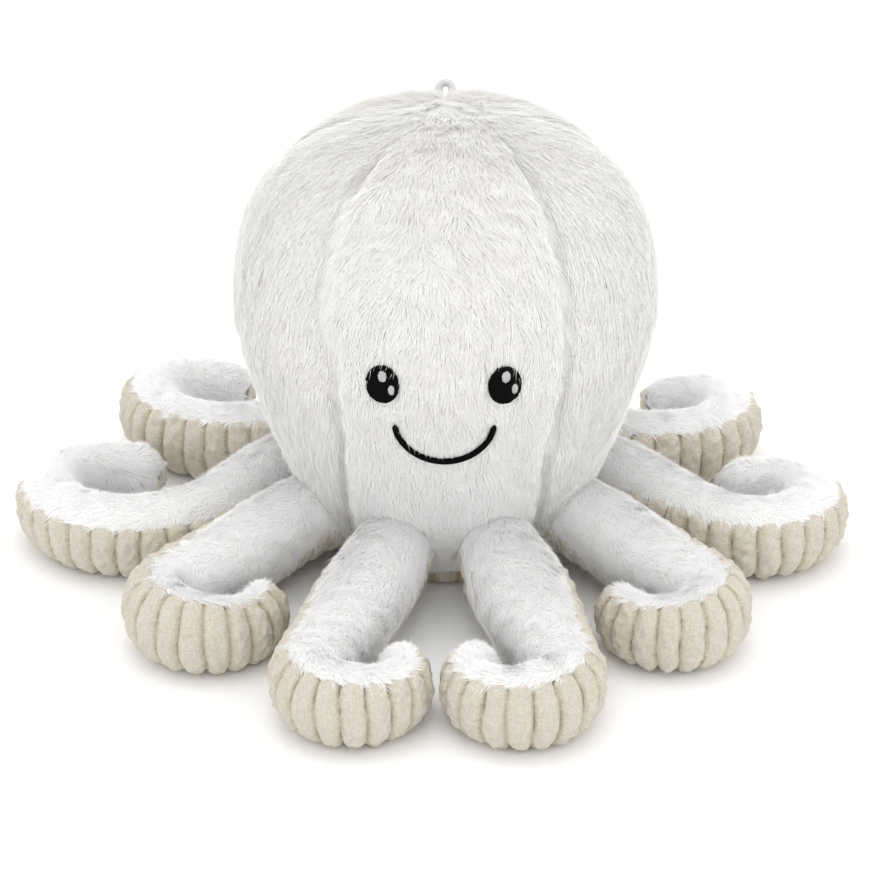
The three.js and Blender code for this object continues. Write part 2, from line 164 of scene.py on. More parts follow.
# name, turn, root, heading, curl, power, straight, length, full half width, outer seam on the curl
ARMS = [
    ("front_left", 1, -20.2, -19.9, 247, 0.9, 113, 202, 22.5, 60),
    ("front_right", -1, 20.5, 15.2, 250, 0.9, 113.5, 206, 24, 60),
    ("fore_left", 1, -66, -42.7, 247, 0.9, 98, 194, 20.7, 80),
    ("fore_right", -1, 63.5, 40, 242, 0.9, 94, 180, 21, 74),
    ("hind_left", -1, -112, -40, 265, 1.3, 64.5, 250, 19.3, 32),
    ("hind_right", 1, 108, 44.5, 262, 1.1, 83, 217, 20, 42),
    ("rear_left", -1, -154, -81, 238, 1.5, 61, 215, 20, 55),
    ("rear_right", 1, 156, 70, 248, 1.65, 50, 199, 20, 50),
]


# %% Small helpers
def smooth(x):
    x = np.clip(x, 0, 1)
    return x * x * (3 - 2 * x)


def lerp(a, b, share):
    return a + (b - a) * share


def unit(vectors):
    return vectors / np.maximum(np.linalg.norm(vectors, axis=-1, keepdims=True), 1e-9)


def compass(degrees):
    """The level direction at a compass angle: 0 looks out of the face, 90 to the right."""
    angle = np.radians(degrees)
    return np.stack([np.sin(angle), -np.cos(angle), np.zeros_like(angle)], -1)


def waves(points, length, seed, count=18):
    """Smooth noise of about -1 to 1, whose swells are about one length across."""
    draw = np.random.default_rng(seed)
    ways = unit(draw.normal(size=(count, 3))) * (2 * np.pi / length) * draw.uniform(0.6, 1.4, (count, 1))
    starts = draw.uniform(0, 2 * np.pi, count)
    return np.sin(points @ ways.T + starts).sum(1) * math.sqrt(2 / count)


def even_pairs(count, shift=0):
    """Pairs of numbers from 0 to 1 that lie evenly apart, in an order without rows."""
    i = np.arange(count) + shift
    return (0.5 + i * 0.7548776662466927) % 1, (0.5 + i * 0.5698402909980532) % 1


# %% [markdown]
# ## Making meshes
# A plush toy has three kinds of surface here: smooth cloth, ribbed cloth and pile. The first two are
# grids of points. The pile is real strands, because fur is what the eye reads first, and a bumpy
# shell never has its soft edge. Every strand is a thin three-sided needle with one bend. Its upper
# faces are shaded much as the cloth under them, so that white fur stays white, and its undersides
# are shaded as if they faced the cloth.

# %% Mesh makers
def mesh_object(name, points, faces, material, uv=None, weave=None, tone=None, normals=None):
    """A smooth-shaded mesh from points in millimetres and arrays of triangles or quads."""
    mesh = bpy.data.meshes.new(name)
    corners = np.concatenate([f.ravel() for f in faces]).astype(np.int32)
    sides = np.concatenate([np.full(len(f), f.shape[1]) for f in faces])
    mesh.vertices.add(len(points))
    mesh.vertices.foreach_set("co", (points * MM).astype(np.float32).ravel())
    mesh.loops.add(len(corners))
    mesh.loops.foreach_set("vertex_index", corners)
    mesh.polygons.add(len(sides))
    mesh.polygons.foreach_set("loop_start", (np.cumsum(sides) - sides).astype(np.int32))
    mesh.polygons.foreach_set("use_smooth", np.ones(len(sides), bool))
    mesh.update(calc_edges=True)
    for label, values in (("OFBake", uv), ("Weave", weave)):
        if values is not None:
            layer = mesh.uv_layers.new(name=label, do_init=False)
            layer.uv.foreach_set("vector", values[corners].astype(np.float32).ravel())
    if tone is not None:
        attribute = mesh.attributes.new("tone", "FLOAT", "POINT")
        attribute.data.foreach_set("value", tone.astype(np.float32))
    if normals is not None:
        mesh.normals_split_custom_set(normals.astype(np.float32))
    mesh.materials.append(material)
    made = bpy.data.objects.new(name, mesh)
    bpy.context.collection.objects.link(made)
    return made


def grid_faces(rows, columns, closed):
    """Quads of a grid of points, row after row. A closed grid joins its last column to its first."""
    across = columns if closed else columns - 1
    row, column = np.meshgrid(np.arange(rows - 1), np.arange(across), indexing="ij")
    after = (column + 1) % columns
    here, below = row * columns, (row + 1) * columns
    quads = [here + column, here + after, below + after, below + column]
    return np.stack([q.ravel() for q in quads], 1)


def grid_uv(rows, columns):
    v, u = np.meshgrid(np.linspace(0.002, 0.998, rows), np.linspace(0.002, 0.998, columns), indexing="ij")
    return np.stack([u.ravel(), v.ravel()], 1)


# %% Strands
STRAND_FACES = np.array([[2, 0, 1], [3, 0, 2], [1, 0, 3], [1, 4, 2], [2, 4, 3], [3, 4, 1]])
STRAND_UNDERSIDES = [1, 4]
STRAND_BEND = 0.38
STRAND_SECTION = [(0, 0.2), (-0.5, -0.05), (0.5, -0.05)]
STRAND_ROUNDNESS = 0.3
PULL_AT_BEND = 0.35
STRAND_PLACES = np.array([[0.5, 0.1], [0.1, 0.4], [0.5, 0.5], [0.9, 0.4], [0.5, 0.9]])
# Painted shade: each strand's root is painted a little darker, as the shade deep in the pile.
STRAND_ROOT_SHADE = np.array([0.93, 1, 1, 1, 1])


def strands(name, material, roots, normals, combs, length, width, lifts, pulls, tones):
    """Pile: one needle per root. It leaves the cloth at one angle, bends, and lies at another."""
    count = len(roots)
    lifts = [np.radians(lift)[:, None] for lift in lifts]
    ways = [combs * np.cos(lift) + normals * np.sin(lift) for lift in lifts]
    bend = roots + ways[0] * (STRAND_BEND * length)[:, None] + PULL_AT_BEND * pulls
    tips = bend + ways[1] * ((1 - STRAND_BEND) * length)[:, None] + (1 - PULL_AT_BEND) * pulls
    side = unit(np.cross(combs, normals))
    points = np.empty((count, 5, 3))
    shaded = np.empty((count, 5, 3))
    for k, (across, up) in enumerate(STRAND_SECTION):
        offset = side * across + normals * up
        points[:, 1 + k] = bend + offset * width[:, None]
        shaded[:, 1 + k] = unit(side * across + normals * abs(up)) * STRAND_ROUNDNESS + normals
    points[:, 0], points[:, 4] = roots, tips
    points[..., 2] = np.maximum(points[..., 2], UNDER_GAP)
    shaded[:, 0], shaded[:, 4] = normals, normals
    shaded = unit(shaded)[:, STRAND_FACES]
    shaded[:, STRAND_UNDERSIDES] = -normals[:, None, None]
    faces = 5 * np.arange(count)[:, None, None] + STRAND_FACES
    across = math.ceil(math.sqrt(count))
    cell = np.stack([np.arange(count) % across, np.arange(count) // across], 1)[:, None]
    tone = tones[:, None] * STRAND_ROOT_SHADE
    return mesh_object(
        name, points.reshape(-1, 3), [faces.reshape(-1, 3)], material,
        uv=((cell + STRAND_PLACES) / across).reshape(-1, 2),
        tone=np.clip(tone, 0.5, 1).ravel(), normals=shaded.reshape(-1, 3),
    )


# %% [markdown]
# ## Finishes
# White fur is painted slightly grey and warm at the roots of its strands, and the cloth under it
# darker still, as painted shade deep in the pile. The ribbed cloth is a cream knit; painted shade makes
# its grooves and the gaps between its loops browner. The stitching is dull black and grey thread, and
# the loop is a smooth pale cord. Each finish takes its colour from nodes: a tone kept on the mesh, a
# noise, or the run of the knit and the threads. So no picture is needed, and nothing blurs from near.

# %% Finishes
def material(name, colour, roughness, sheen=0.0):
    made = bpy.data.materials.new(name)
    made.use_nodes = True
    shader = made.node_tree.nodes["Principled BSDF"]
    shader.inputs["Base Color"].default_value = (*colour, 1)
    shader.inputs["Roughness"].default_value = roughness
    shader.inputs["Specular IOR Level"].default_value = 0.15
    shader.inputs["Sheen Weight"].default_value = sheen
    return made


def node(made, kind, **values):
    found = made.node_tree.nodes.new(kind)
    for key, value in values.items():
        setattr(found, key, value)
    return found


def link(made, out, into):
    made.node_tree.links.new(out, into)


def colours(made, factor, stops):
    """Colours the material by a factor, through a ramp of stops."""
    ramp = node(made, "ShaderNodeValToRGB")
    elements = ramp.color_ramp.elements
    while len(elements) < len(stops):
        elements.new(0.5)
    for element, (place, colour) in zip(elements, stops):
        element.position = place
        element.color = (*colour, 1)
    link(made, factor, ramp.inputs["Fac"])
    shader = made.node_tree.nodes["Principled BSDF"]
    link(made, ramp.outputs["Color"], shader.inputs["Base Color"])
    return ramp


def fur_finish(name, deep, pale):
    made = material(name, pale, 0.8)
    tone = node(made, "ShaderNodeAttribute", attribute_name="tone")
    colours(made, tone.outputs["Fac"], [(0.6, deep), (1.0, pale)])
    return made


# The deep colour is reached as a strand's tone falls: at random, by painted shade at its root, and on the
# head by painted shade at the seams and behind the crown.
head_fur = fur_finish("head_fur", (0.79, 0.77, 0.73), (0.975, 0.971, 0.962))
arm_fur = fur_finish("arm_fur", (0.95, 0.935, 0.90), (0.995, 0.994, 0.991))
# Painted shade: the cloth under the pile is painted darker than the fur, as the shade deep in the pile; its
# noise varies at random.
shaded_backing = material("plush_backing_painted_shade", (0.76, 0.755, 0.74), 0.95)
backing_noise = node(shaded_backing, "ShaderNodeTexNoise")
backing_noise.inputs["Scale"].default_value = 900
colours(shaded_backing, backing_noise.outputs["Fac"], [(0.3, (0.74, 0.735, 0.72)), (0.7, (0.79, 0.785, 0.77))])

# %% Ribbed plush
STITCH_WIDTH, STITCH_HEIGHT = 1.35, 1.15
ribbed = material("ribbed_plush", (0.83, 0.77, 0.66), 0.9, sheen=0.2)
weave = node(ribbed, "ShaderNodeUVMap", uv_map="Weave")
knit = node(ribbed, "ShaderNodeTexVoronoi", feature="F1")
knit.inputs["Scale"].default_value = 1.0
knit_place = node(ribbed, "ShaderNodeMapping")
knit_place.inputs["Scale"].default_value = (1 / (STITCH_WIDTH * MM), 1 / (STITCH_HEIGHT * MM), 1)
link(ribbed, weave.outputs["UV"], knit_place.inputs["Vector"])
link(ribbed, knit_place.outputs["Vector"], knit.inputs["Vector"])
knit.inputs["Randomness"].default_value = 0.55
fuzz = node(ribbed, "ShaderNodeTexNoise")
fuzz.inputs["Scale"].default_value = 1400
bumps = node(ribbed, "ShaderNodeMath", operation="MULTIPLY_ADD")
link(ribbed, fuzz.outputs["Fac"], bumps.inputs[0])
bumps.inputs[1].default_value = 0.6
link(ribbed, knit.outputs["Distance"], bumps.inputs[2])
bump = node(ribbed, "ShaderNodeBump", invert=True)
bump.inputs["Strength"].default_value = 0.7
bump.inputs["Distance"].default_value = 0.0007
link(ribbed, bumps.outputs[0], bump.inputs["Height"])
link(ribbed, bump.outputs["Normal"], ribbed.node_tree.nodes["Principled BSDF"].inputs["Normal"])
# Painted shade: the tone darkens the grooves between the ribs, and the knit's pattern darkens the gaps
# between its loops.
groove = node(ribbed, "ShaderNodeAttribute", attribute_name="tone")
knit_and_groove_shade = node(ribbed, "ShaderNodeMath", operation="MULTIPLY_ADD")
link(ribbed, knit.outputs["Distance"], knit_and_groove_shade.inputs[0])
knit_and_groove_shade.inputs[1].default_value = -0.8
link(ribbed, groove.outputs["Fac"], knit_and_groove_shade.inputs[2])
colours(ribbed, knit_and_groove_shade.outputs[0], [
    (0.0, (0.49, 0.41, 0.28)), (0.3, (0.625, 0.557, 0.432)),
    (0.6, (0.70, 0.645, 0.54)), (0.9, (0.765, 0.723, 0.64)),
])

# %% Threads
THREAD_WIDTH = 0.42
WAVE_LINES = 0.31
black_thread = material("black_thread", (0.004, 0.004, 0.004), 0.75)
black_thread.node_tree.nodes["Principled BSDF"].inputs["Specular IOR Level"].default_value = 0.06
grey_thread = material("grey_thread", (0.62, 0.63, 0.64), 0.45)
for thread, dark, pale in (
    (black_thread, (0.001, 0.001, 0.001), (0.005, 0.005, 0.005)),
    (grey_thread, (0.40, 0.41, 0.42), (0.74, 0.75, 0.76)),
):
    lie = node(thread, "ShaderNodeUVMap", uv_map="Weave")
    lines = node(thread, "ShaderNodeTexWave", wave_type="BANDS", bands_direction="Y")
    lines.inputs["Scale"].default_value = WAVE_LINES / (THREAD_WIDTH * MM)
    lines.inputs["Distortion"].default_value = 0.6
    link(thread, lie.outputs["UV"], lines.inputs["Vector"])
    relief = node(thread, "ShaderNodeBump")
    relief.inputs["Strength"].default_value = 0.8
    relief.inputs["Distance"].default_value = 0.0003
    link(thread, lines.outputs["Fac"], relief.inputs["Height"])
    link(thread, relief.outputs["Normal"], thread.node_tree.nodes["Principled BSDF"].inputs["Normal"])
    colours(thread, lines.outputs["Fac"], [(0.1, dark), (0.7, pale)])

# %% Cord and floor
loop_cord = material("loop_cord", (0.66, 0.67, 0.67), 0.6)
loop_cord.node_tree.nodes["Principled BSDF"].inputs["Specular IOR Level"].default_value = 0.2
cord_noise = node(loop_cord, "ShaderNodeTexNoise")
cord_noise.inputs["Scale"].default_value = 1200
colours(loop_cord, cord_noise.outputs["Fac"], [(0.3, (0.62, 0.63, 0.63)), (0.7, (0.70, 0.71, 0.71))])

floor_finish = material("floor", FLOOR_COLOUR[:3], 0.9)
floor_finish.node_tree.nodes["Principled BSDF"].inputs["Specular IOR Level"].default_value = 0.0
print("finishes:", len(bpy.data.materials))

# %% [markdown]
# ## Floor
# One wide plane is enough for the floor, because only the toy's soft shadow shows on it.

# %% Floor
bpy.ops.mesh.primitive_plane_add(size=14)
floor = bpy.context.object
floor.name = "floor"
floor.data.materials.append(floor_finish)

# %% [markdown]
# ## Head
# The head's cover is five panels cut like slices of a melon: a narrow one for the face, two for the
# sides and two behind. Stuffing swells each panel between its seams, so the seams lie in shallow
# grooves. The two front seams open out towards the crown, as they do in the photograph.

# %% Head's shape
LEFT_SEAM = np.array([[8, -42], [48, -38.7], [94, -31.3], [132, -30.5], [154.5, -34.1], [180.7, -36.3],
                      [198, -38], [209.5, -40], [215.8, -47], [217.8, -54]])
RIGHT_SEAM = np.array([[8, 40], [49.4, 36.4], [80.8, 31.7], [116.5, 32.6], [154.6, 33.9], [178.5, 34.7],
                       [200.3, 37.1], [210.3, 40.8], [216.5, 59.8]])
SIDE_SEAM_ANGLE = 107


def seams_at(height):
    """The compass angles of the five seams at each height, going round from the left of the face."""
    left = np.interp(height, LEFT_SEAM[:, 0], LEFT_SEAM[:, 1])
    right = np.interp(height, RIGHT_SEAM[:, 0], RIGHT_SEAM[:, 1])
    side = np.full_like(left, SIDE_SEAM_ANGLE)
    return np.stack([left, right, side, np.full_like(left, 180), 360 - side], -1)


# %% Head's outline
def head_profile(out, steps=400):
    """Radius and height from the crown to the neck, at even steps, and the length along them."""
    crown = np.radians(np.linspace(90, 0, steps))
    radius = (HEAD_RADIUS + out) * np.cos(crown) ** (2 / CROWN_POWER)
    height = WIDEST_HEIGHT + (HEAD_TOP + out - WIDEST_HEIGHT) * np.sin(crown) ** (2 / CROWN_POWER)
    share = np.linspace(0, 1, steps)[1:]
    fall = np.maximum(0, 1 - share**CHEEK_POWER) ** (1 / CHEEK_ROOT_POWER)
    radius = np.concatenate([radius, lerp(NECK_RADIUS, HEAD_RADIUS, fall) + out])
    height = np.concatenate([height, lerp(WIDEST_HEIGHT, NECK_HEIGHT, share)])
    along = np.concatenate([[0], np.cumsum(np.hypot(np.diff(radius), np.diff(height)))])
    return radius, height, along


head_radii, head_heights, head_along = head_profile(-HEAD_PILE)
HEAD_LENGTH = head_along[-1]


# %% Places on the head
def head_frame(angle, along):
    """Points on the head's cloth at compass angles and distances from the crown, with directions."""
    radius = np.interp(along, head_along, head_radii)
    height = np.interp(along, head_along, head_heights)
    step = 0.6
    ahead, behind = along + step, along - step
    fall_r = np.interp(ahead, head_along, head_radii) - np.interp(behind, head_along, head_radii)
    fall_z = np.interp(ahead, head_along, head_heights) - np.interp(behind, head_along, head_heights)
    out, round_ = compass(angle), compass(angle + 90)
    down = unit(out * fall_r[:, None] + np.array([0, 0, 1.0]) * fall_z[:, None])
    normal = unit(np.cross(down, round_))
    normal *= np.sign((normal * (out + [0, 0, 0.2])).sum(-1, keepdims=True))
    apart = (angle[:, None] - seams_at(height) + 180) % 360 - 180
    apart = np.radians(apart) * radius[:, None]
    dip = SEAM_DIP * np.exp(-((apart / SEAM_HALF_WIDTH) ** 2))
    dip = dip + SEAM_WIDE_DIP * np.exp(-((apart / SEAM_WIDE_HALF_WIDTH) ** 2))
    depth = dip.max(-1) * smooth((radius - SEAM_FADE_START) / SEAM_FADE_LENGTH)
    points = out * radius[:, None] + np.array([0, 0, 1.0]) * height[:, None] - normal * depth[:, None]
    nearest = np.take_along_axis(apart, np.abs(apart).argmin(-1)[:, None], 1)[:, 0]
    return points, normal, down, round_, radius, height, nearest


# %% Head's cloth
rows, columns = 220, 360
along, angle = np.meshgrid(np.linspace(0.5, HEAD_LENGTH, rows), np.arange(columns), indexing="ij")
points = head_frame(angle.ravel().astype(float), along.ravel())[0]
crown_point = np.array([[0, 0, head_heights[0]]])
ring = np.arange(columns)
crown_faces = np.stack([np.full(columns, rows * columns), (ring + 1) % columns, ring], 1)
head_cloth = mesh_object(
    "head_cloth", np.concatenate([points, crown_point]),
    [grid_faces(rows, columns, True)[:, ::-1], crown_faces[:, ::-1]], shaded_backing,
    uv=np.concatenate([grid_uv(rows, columns), [[0.5, 0.001]]]),
)
print("head cloth points:", len(head_cloth.data.vertices))

# %% [markdown]
# ## Fur of the head
# The pile is mostly 7 to 11 mm long, and shorter at the seams and near the ground. It is combed down
# from the crown, where it lies towards the face. On the forehead it parts round a whorl and sweeps
# outwards before it falls. Small locks, about 2 mm across, draw their tips together, and larger swells
# turn them a little, which gives the soft streaks of the photograph. Behind the crown the pile stands
# up more, for the soft edge against the background. The fur keeps off the stitched eyes and smile, and
# only its tips reach over their edges. Its colour carries painted light and shade: it is painted paler
# low on the head, and darker on the edge behind the crown and along the seams.

# %% Fur of the head
WHORL_ANGLE, WHORL_HEIGHT = -6, 178
WHORL_REACH = 34
CROWN_REACH = 34
whorl_along = np.interp(-WHORL_HEIGHT, -head_heights, head_along)
EYES = [("left", -16.4, 127.5, 15, 17.9), ("right", 14.9, 127.5, 14.9, 17.9)]
SMILE_TOP, SMILE_BOTTOM, SMILE_THICKNESS = 107, 87.3, 2.8
SMILE_MIDDLE, SMILE_HALF_ANGLE = -0.5, 13.1


# %% Where the face is stitched
def smile_line(count):
    across = np.linspace(-1, 1, count)
    angle = SMILE_MIDDLE + SMILE_HALF_ANGLE * np.sin(np.pi / 2 * across)
    height = lerp(SMILE_BOTTOM, SMILE_TOP, 1 - np.cos(np.pi / 2 * across))
    return angle, height


def stitched(angle, height, radius, margin):
    """Whether a place on the head is within a margin of the stitched eyes or smile."""
    near = np.zeros(len(angle), bool)
    for _, eye_angle, eye_height, width, tall in EYES:
        x = np.radians(angle - eye_angle) * radius
        z = height - eye_height
        near |= (x / (width / 2 + margin)) ** 2 + (z / (tall / 2 + margin)) ** 2 < 1
    line_angle, line_height = smile_line(60)
    x = np.radians(angle[:, None] - line_angle) * radius[:, None]
    z = height[:, None] - line_height
    return near | (np.hypot(x, z).min(-1) < SMILE_THICKNESS / 2 + margin)


# %% Locks
def wrapped(angle):
    return (angle + 180) % 360 - 180


def locks(across, along, combs, sides, size, strength, seed):
    """How far each strand's tip is drawn towards the middle of its lock."""
    draw = np.random.default_rng(seed)
    cell = np.floor(np.stack([across, along], 1) / size).astype(int)
    shift = draw.uniform(0.2, 0.8, (64, 64, 2))
    middle = (cell + shift[cell[:, 0] % 64, cell[:, 1] % 64]) * size
    return strength * ((middle[:, :1] - across[:, None]) * sides + (middle[:, 1:] - along[:, None]) * combs)


# %% Fur of one panel
HEAD_STRAND_LENGTH, HEAD_STRAND_WIDTH = 10.0, 0.25
HEAD_LOCK, HEAD_LOOSE_SHARE = 2.1, 0.04
PILE_END = 11
CROWN_EDGE, CROWN_EDGE_RISE = 195, 20
HEAD_LIFTS, RIDGE_LIFTS, HEAD_LOOSE_LIFT = (22, 4), (26, 12), 12
FACE_PULL, COVER_PULL = 0.25, 0.06
REACH_SHARE, CUT_SHARE = 0.85, 0.5
HEAD_ROOT_SINK = 0.4


def head_fur_piece(name, first, second, top, bottom, count, seed):
    """The pile of part of one panel, between two seams given by their places in seams_at."""
    draw = np.random.default_rng(seed)
    u, v = even_pairs(int(count * 1.2), seed * 1000)
    lengths = np.linspace(0, HEAD_LENGTH, 300)
    heights = np.interp(lengths, head_along, head_heights)
    seams = seams_at(heights)
    start, end = seams[:, first], seams[:, second]
    end = np.where(end < start, end + 360, end)
    widths = np.radians(end - start) * np.interp(lengths, head_along, head_radii)
    total = np.concatenate([[0], np.cumsum((widths[1:] + widths[:-1]) / 2)])
    along = np.interp(lerp(top, bottom, v) * total[-1], total, lengths)
    angle = lerp(np.interp(along, lengths, start), np.interp(along, lengths, end), u)
    roots, normal, down, side, radius, height, seam = head_frame(angle, along)
    keep = ~stitched(wrapped(angle), height, radius, 0.2) & (height > PILE_END)
    keep = np.flatnonzero(keep)[:count]
    along, angle, roots, normal, down, side, radius, height, seam = (
        x[keep] for x in (along, angle, roots, normal, down, side, radius, height, seam)
    )
    # Which way the strands are combed
    number = len(keep)
    x = np.radians(wrapped(angle - WHORL_ANGLE)) * radius + 3 * waves(roots, 14, 21)
    y = along - whorl_along + 3 * waves(roots, 14, 22)
    away_from = np.hypot(x, y) + 4
    pull = 0.62 * np.exp(-((away_from / WHORL_REACH) ** 2)) * (np.abs(wrapped(angle)) < 60)
    on_face = first == 0
    flow_x = pull * x / away_from + 0.10 * waves(roots, 42, 11)
    flow_y = (1 - pull) + pull * y / away_from
    flow_x = flow_x + (0.20 if on_face else 0.07) * waves(roots, 13, 12) + 0.14 * draw.normal(size=number)
    flow_x = flow_x + 0.30 * np.sign(seam) * np.exp(-((seam / 4) ** 2))
    combs = side * flow_x[:, None] + down * flow_y[:, None]
    swept = np.exp(-((along / CROWN_REACH) ** 2))
    forwards = np.stack([0.3 * waves(roots, 9, 17), 0.3 * waves(roots, 9, 18) - 0.8, np.zeros(number)], 1)
    combs = combs * (1 - swept[:, None]) + forwards * swept[:, None]
    combs = unit(combs - normal * (combs * normal).sum(1, keepdims=True))
    # How long they are, and how far they stand up
    near_seam = np.exp(-((seam / 2.6) ** 2)) * smooth((radius - 30) / 40)
    length = HEAD_STRAND_LENGTH * draw.uniform(0.7, 1.12, number)
    length = length * (1 + 0.08 * waves(roots, 16, 13)) * (1 - 0.45 * near_seam)
    length = length * np.clip((height - 6) / 16, 0.35, 1)
    ridge = smooth((height - CROWN_EDGE) / CROWN_EDGE_RISE) * smooth((roots[:, 1] - 12) / 25)
    loose = draw.uniform(size=number) < HEAD_LOOSE_SHARE
    ruffled = 1.0 if on_face else 0.5
    lift_root = HEAD_LIFTS[0] + ruffled * (3 * waves(roots, 10, 14) + 3 * draw.normal(size=number))
    lift_root = lift_root + RIDGE_LIFTS[0] * ridge + HEAD_LOOSE_LIFT * loose
    lift_tip = HEAD_LIFTS[1] + ruffled * (1.5 * waves(roots, 10, 14) + 2 * draw.normal(size=number))
    lift_tip = lift_tip + RIDGE_LIFTS[1] * ridge + HEAD_LOOSE_LIFT * loose
    pulling = FACE_PULL if on_face else COVER_PULL
    pulls = locks(np.radians(angle) * 100, along, down, side, HEAD_LOCK, pulling, seed)
    # Strands that would cover the stitching are cut short
    reach = REACH_SHARE * length
    reach_angle = angle + np.degrees((combs * side).sum(1) * reach / radius)
    reach_height = height + combs[:, 2] * reach
    over = stitched(wrapped(reach_angle), reach_height, radius, -3.3)
    middle = stitched(wrapped(angle + (reach_angle - angle) / 2), (height + reach_height) / 2, radius, -1.0)
    length = np.where(over | middle, length * CUT_SHARE, length)
    width = HEAD_STRAND_WIDTH * draw.uniform(0.7, 1.3, number)
    # Painted light and shade: the tone is paler towards the bottom of the head, as painted light under the
    # head, and darker on the ridge behind the crown, as painted shade. At the seams it is darker and warmer:
    # partly the warmer cloth showing where the fur parts, partly painted shade in the groove. The rest varies
    # at random.
    tones = 0.87 + 0.11 * smooth((130 - height) / 70) + 0.02 * draw.normal(size=number)
    tones = tones + 0.012 * waves(roots, 12, 16) - 0.10 * near_seam - 0.2 * ridge
    return strands(
        name, head_fur, roots - HEAD_ROOT_SINK * normal, normal, combs, length, width,
        (np.clip(lift_root, 12, 80), np.clip(lift_tip, -4, 50)), pulls, tones,
    )


# %% Piles of the head
STRANDS = 33000
HEAD_PILES = [
    ("upper_face_pile", "face_panel", 0, 1, 0, 0.5), ("lower_face_pile", "face_panel", 0, 1, 0.5, 1),
    ("upper_right_side_pile", "right_side_panel", 1, 2, 0, 0.5),
    ("lower_right_side_pile", "right_side_panel", 1, 2, 0.5, 1),
    ("right_back_pile", "right_back_panel", 2, 3, 0, 1), ("left_back_pile", "left_back_panel", 3, 4, 0, 1),
    ("upper_left_side_pile", "left_side_panel", 4, 0, 0, 0.5),
    ("lower_left_side_pile", "left_side_panel", 4, 0, 0.5, 1),
]
head_piles = [
    (head_fur_piece(name, *shape, STRANDS, 1 + number), solid)
    for number, (name, solid, *shape) in enumerate(HEAD_PILES)
]
print("strands on the head:", sum(len(pile.data.vertices) // 5 for pile, _ in head_piles))

# %% [markdown]
# ## Arms
# An arm is a stuffed tube that swells away from the body, runs straight and then curls up on itself.
# Its two seams start on its sides. As the arm curls, it rolls over, so that one seam climbs on the
# outer side and the ribbed underside comes to face outwards.

# %% Arm's shape
PATH_START = -8


def arm_path(
    turn, root, heading, curl, power, straight, length, full_half_width, outer_seam, steps=800,
):
    """The arm's middle line and its directions, by the distance from its root."""
    s = np.linspace(PATH_START, length, steps)
    share = np.clip((s - straight) / (length - straight), 0, 1)
    facing = heading + EASE_SHARE * (root - heading) * (1 - smooth(s / EASE_LENGTH))
    facing = facing + turn * curl * share**power
    ways = compass(facing)
    step = s[1] - s[0]
    line = np.concatenate([np.zeros((1, 3)), np.cumsum((ways[1:] + ways[:-1]) / 2 * step, 0)])
    start = np.array([np.interp(0, s, line[:, k]) for k in range(3)])
    line += compass(np.array(float(root))) * ROOT_RADIUS - start
    half_height = lerp(ROOT_HALF_HEIGHT, TIP_HALF_HEIGHT,
                       smooth((s / length - CURL_START_SHARE) / (1 - CURL_START_SHARE)))
    mid = CURL_START_SHARE * length
    half_width = (
        lerp(ROOT_HALF_WIDTH, full_half_width, smooth(s / SWELL_LENGTH))
        + (CURL_HALF_WIDTH - full_half_width) * smooth((s - SWELL_LENGTH) / (mid - SWELL_LENGTH))
        + (TIP_HALF_WIDTH - CURL_HALF_WIDTH) * smooth((s - mid) / (length - mid))
    )
    line[:, 2] = UNDER_GAP + half_height + (ROOT_HEIGHT - half_height) * (1 - smooth(s / SETTLE_LENGTH))
    return dict(s=s, line=line, facing=facing, half_width=half_width, half_height=half_height,
                turn=turn, straight=straight, last=length - TIP_HALF_WIDTH, length=length,
                outer_seam=outer_seam)


# %% Places on an arm
def at(path, key, s):
    values = path[key]
    if values.ndim == 1:
        return np.interp(s, path["s"], values)
    return np.stack([np.interp(s, path["s"], values[:, k]) for k in range(values.shape[1])], -1)


def arm_point(path, reach, theta, inset):
    """Points round the arm. reach runs on past the last full section by the angle of the round tip."""
    last = path["last"]
    cap = np.clip((reach - last) / TIP_HALF_WIDTH, 0, np.pi / 2)
    s = np.minimum(reach, last) + (TIP_HALF_WIDTH - inset) * np.sin(cap)
    shrink = np.cos(cap)
    middle = at(path, "line", s)
    outward = compass(at(path, "facing", s) + 90) * -path["turn"]
    forward = compass(at(path, "facing", s))
    half_width = at(path, "half_width", s)
    half_height = at(path, "half_height", s)
    turned = np.radians(theta)
    c, z = np.cos(turned)[:, None], np.sin(turned)[:, None]
    up = np.array([0, 0, 1.0])
    offset = outward * c * ((half_width - inset) * shrink)[:, None]
    offset = offset + up * z * ((half_height - inset) * shrink)[:, None]
    normal = unit(outward * c / half_width[:, None] + up * z / half_height[:, None])
    normal = unit(normal * shrink[:, None] + forward * np.sin(cap)[:, None])
    tangent = unit(-outward * z * half_width[:, None] + up * c * half_height[:, None])
    return middle + offset, normal, forward * shrink[:, None], tangent, s


def seam_thetas(path, s):
    rolled = smooth(s / path["straight"])
    return lerp(OUTER_SEAM_ROOT, path["outer_seam"], rolled), lerp(*INNER_SEAM, rolled)


paths = {name: arm_path(*rest) for name, *rest in ARMS}
print("arm lengths in mm:", {name: round(path["length"]) for name, path in paths.items()})

# %% [markdown]
# ## Ribbed undersides
# Wide-wale plush has a rounded rib every 12 to 13 mm, with a narrow groove between. The ribs run
# across the arm from seam to seam. Round the curl they are as wide as ever on the outer side and
# bunch up on the inner side. Each rib's end is rounded where the seam draws it in.

# %% Ribbed undersides
def outer_length(path):
    """Length along the outer side of the arm, by the distance along its middle."""
    outward = compass(path["facing"] + 90) * -path["turn"]
    outer = path["line"] + outward * path["half_width"][:, None]
    steps = np.linalg.norm(np.diff(outer[:, :2], axis=0), axis=1)
    return np.concatenate([[0], np.cumsum(steps)]) + PATH_START


# %% One ribbed underside
RIB_FULLNESS = 2.1
RIB_END_LENGTH = 5
RIB_LOWEST = 0.1


